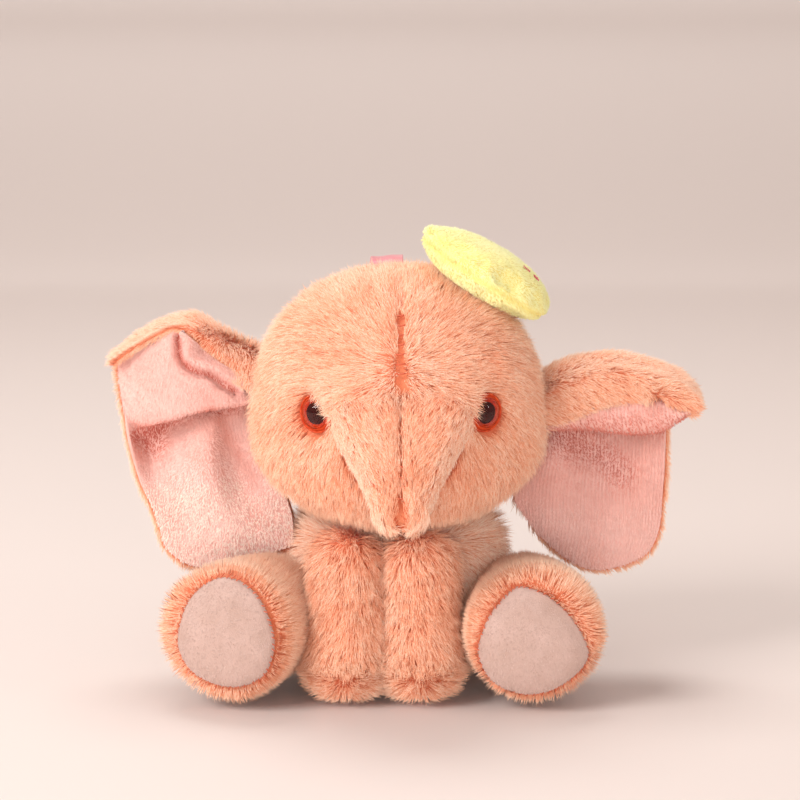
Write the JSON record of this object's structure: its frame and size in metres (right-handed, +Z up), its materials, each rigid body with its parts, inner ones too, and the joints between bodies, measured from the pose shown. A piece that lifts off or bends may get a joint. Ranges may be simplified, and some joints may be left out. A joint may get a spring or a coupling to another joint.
{
  "type": "stuffed elephant",
  "caption": "Small sitting plush elephant with floppy velour-lined ears, a short trunk, splayed feet with pale soles and a little yellow cap.",
  "frame": {"origin": "on the floor under the seat, on the flat that the body sits on", "axes": "+Z up, the face looks along -Y, +X is the toy's own left"},
  "size_m": [0.1731, 0.1231, 0.139],
  "materials": {
    "plush": "short dense pile, peach",
    "ear_velour": "ribbed velour, pale pink",
    "sole_velvet": "smooth short velvet, very pale pink",
    "cap_fleece": "short fleece, lemon yellow",
    "embroidery": "embroidery thread, pink",
    "ribbon_satin": "satin ribbon, pink",
    "thread": "sewing thread, orange red",
    "stuffing": "loose polyester filling, white",
    "pellet_cloth": "thin woven bag of pellets",
    "eye_plastic": "clear amber red, polished, dark pupil",
    "washer_plastic": "moulded, white"
  },
  "bodies": {
    "body": {"body_cover": "plush", "body_stuffing": "stuffing", "pellet_bag": "pellet_cloth", "back_stitches": "thread"},
    "neck": {"neck_stuffing": "stuffing"},
    "head": {"head_cover": "plush", "head_stuffing": "stuffing", "forehead_stitches": "thread", "neck_gather_thread": "thread", "eye_left": "eye_plastic", "eye_right": "eye_plastic", "eye_washers": "washer_plastic"},
    "trunk": {"trunk_cover": "plush", "trunk_stuffing": "stuffing", "trunk_stitches": "thread"},
    "ear_left": {"ear_left_back": "plush", "ear_left_lining": "ear_velour"},
    "ear_right": {"ear_right_back": "plush", "ear_right_lining": "ear_velour"},
    "front_leg_left": {"front_leg_left_cover": "plush", "front_leg_left_stuffing": "stuffing"},
    "front_leg_right": {"front_leg_right_cover": "plush", "front_leg_right_stuffing": "stuffing"},
    "hind_leg_left": {"hind_leg_left_cover": "plush", "hind_leg_left_stuffing": "stuffing", "sole_pad_left": "sole_velvet", "sole_stitches_left": "thread"},
    "hind_leg_right": {"hind_leg_right_cover": "plush", "hind_leg_right_stuffing": "stuffing", "sole_pad_right": "sole_velvet", "sole_stitches_right": "thread"},
    "tail": {"tail": "plush"},
    "cap": {"cap_upper_panel": "cap_fleece", "cap_lower_panel": "cap_fleece", "cap_stuffing": "stuffing", "cap_embroidery": "embroidery"},
    "ribbon": {"ribbon_loop": "ribbon_satin"}
  },
  "joints": [
    {"name": "head_turn", "type": "hinge", "parent": "body", "child": "neck", "pos_m": [0.0012, 0, 0.0498], "axis": [0, 0, 1], "range_deg": [-15, 15], "stiffness_Nm_per_rad": 0.15},
    {"name": "head_nod", "type": "hinge", "parent": "neck", "child": "head", "pos_m": [0.0012, 0, 0.0498], "axis": [1, 0, 0], "range_deg": [-8, 8], "stiffness_Nm_per_rad": 0.3},
    {"name": "trunk_lift", "type": "hinge", "parent": "head", "child": "trunk", "pos_m": [0.0025, -0.041, 0.082], "axis": [-1, 0, 0], "range_deg": [0, 25], "stiffness_Nm_per_rad": 0.02},
    {"name": "ear_left_flap", "type": "hinge", "parent": "head", "child": "ear_left", "pos_m": [0.0458, 0.002, 0.08], "axis": [0, 0, -1], "range_deg": [-15, 15], "stiffness_Nm_per_rad": 0.01},
    {"name": "ear_right_flap", "type": "hinge", "parent": "head", "child": "ear_right", "pos_m": [-0.0428, 0.002, 0.08], "axis": [0, 0, 1], "range_deg": [-15, 15], "stiffness_Nm_per_rad": 0.01},
    {"name": "front_leg_left_swing", "type": "hinge", "parent": "body", "child": "front_leg_left", "pos_m": [0.0083, -0.026, 0.037], "axis": [-1, 0, 0], "range_deg": [0, 30], "stiffness_Nm_per_rad": 0.02},
    {"name": "front_leg_right_swing", "type": "hinge", "parent": "body", "child": "front_leg_right", "pos_m": [-0.0143, -0.026, 0.037], "axis": [-1, 0, 0], "range_deg": [0, 30], "stiffness_Nm_per_rad": 0.02},
    {"name": "hind_leg_left_lift", "type": "hinge", "parent": "body", "child": "hind_leg_left", "pos_m": [0.0405, -0.012, 0.02], "axis": [-1, 0, 0], "range_deg": [-5, 12], "stiffness_Nm_per_rad": 0.06},
    {"name": "hind_leg_right_lift", "type": "hinge", "parent": "body", "child": "hind_leg_right", "pos_m": [-0.0385, -0.012, 0.02], "axis": [-1, 0, 0], "range_deg": [-5, 12], "stiffness_Nm_per_rad": 0.06},
    {"name": "tail_swing", "type": "hinge", "parent": "body", "child": "tail", "pos_m": [0.001, 0.0456, 0.0195], "axis": [0, 1, 0], "range_deg": [-25, 25], "stiffness_Nm_per_rad": 0.002},
    {"name": "cap_lift", "type": "hinge", "parent": "head", "child": "cap", "pos_m": [0.04559, -0.005, 0.11426], "axis": [0, 1, 0], "range_deg": [0, 15], "stiffness_Nm_per_rad": 0.01},
    {"name": "ribbon_flip", "type": "hinge", "parent": "head", "child": "ribbon", "pos_m": [-0.002, 0.00894, 0.12819], "axis": [1, 0, 0], "range_deg": [-20, 60], "stiffness_Nm_per_rad": 0.001}
  ]
}
